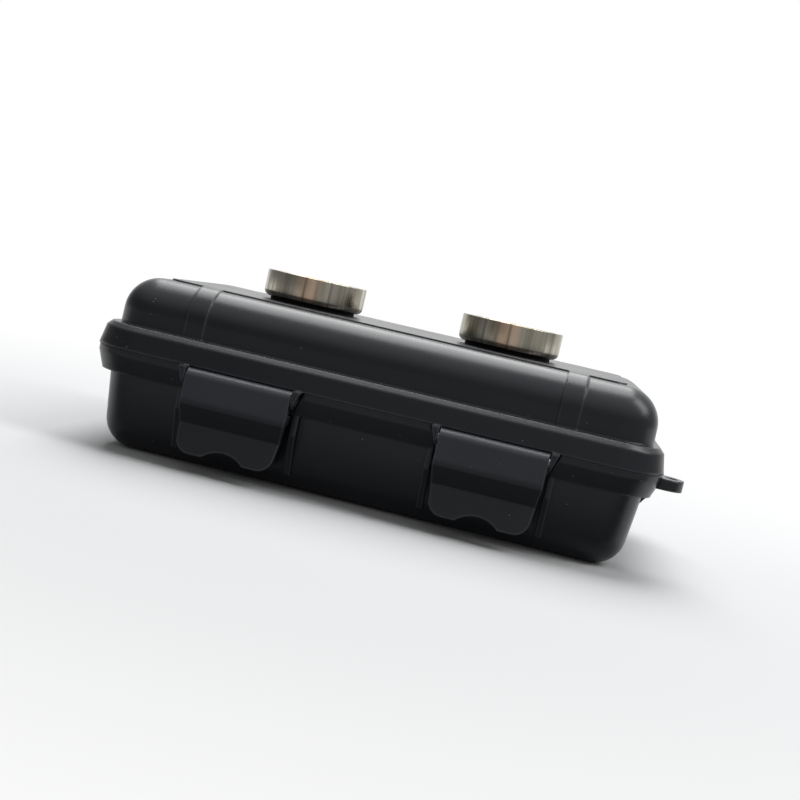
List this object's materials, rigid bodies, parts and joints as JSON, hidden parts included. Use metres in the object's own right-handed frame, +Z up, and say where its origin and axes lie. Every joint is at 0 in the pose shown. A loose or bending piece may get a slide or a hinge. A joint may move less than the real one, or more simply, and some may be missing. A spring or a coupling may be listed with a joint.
{
  "type": "magnetic storage box",
  "caption": "Small hard plastic case with a gasketed domed lid, front latches, rear pin hinges, a lanyard eye and two pot magnets screwed to the lid.",
  "frame": {"origin": "centre of the base's bottom face, on the surface it stands on", "axes": "+X along the case towards the lanyard eye, -Y out of the side with the latches, +Z up through the lid and its magnets"},
  "size_m": [0.1484, 0.0938, 0.0517],
  "materials": {
    "base_plastic": "satin black moulded ABS",
    "lid_plastic": "satin black moulded ABS",
    "latch_plastic": "satin black moulded nylon",
    "gasket_rubber": "matt silicone",
    "pad_rubber": "matt",
    "nickel_cup": "bright nickel plate on drawn steel",
    "magnet_nickel": "nickel-plated sintered magnet, tumbled",
    "fastener_steel": "bright zinc plate",
    "pin_steel": "plain stainless wire"
  },
  "bodies": {
    "base": {"base_shell": "base_plastic", "lanyard_eye": "base_plastic", "hinge_pin_left": "pin_steel", "hinge_pin_right": "pin_steel"},
    "lid": {"lid_shell": "lid_plastic", "gasket": "gasket_rubber", "latch_pin_left": "pin_steel", "latch_pin_right": "pin_steel", "magnet_cup_left": "nickel_cup", "magnet_cup_right": "nickel_cup", "magnet_ring_left": "magnet_nickel", "magnet_ring_right": "magnet_nickel", "magnet_screw_left": "fastener_steel", "magnet_screw_right": "fastener_steel", "magnet_pad_left": "pad_rubber", "magnet_pad_right": "pad_rubber", "washer_left": "fastener_steel", "washer_right": "fastener_steel", "nut_left": "fastener_steel", "nut_right": "fastener_steel"},
    "left_latch": {"latch_left": "latch_plastic"},
    "right_latch": {"latch_right": "latch_plastic"}
  },
  "joints": [
    {"name": "lid_hinge", "type": "hinge", "parent": "base", "child": "lid", "pos_m": [0, 0.0456, 0.025], "axis": [-1, 0, 0], "range_deg": [0, 170]},
    {"name": "left_latch_hinge", "type": "hinge", "parent": "lid", "child": "left_latch", "pos_m": [-0.0312, -0.0423, 0.0225], "axis": [-1, 0, 0], "range_deg": [0, 110]},
    {"name": "right_latch_hinge", "type": "hinge", "parent": "lid", "child": "right_latch", "pos_m": [0.0312, -0.0423, 0.0225], "axis": [-1, 0, 0], "range_deg": [0, 110]}
  ]
}
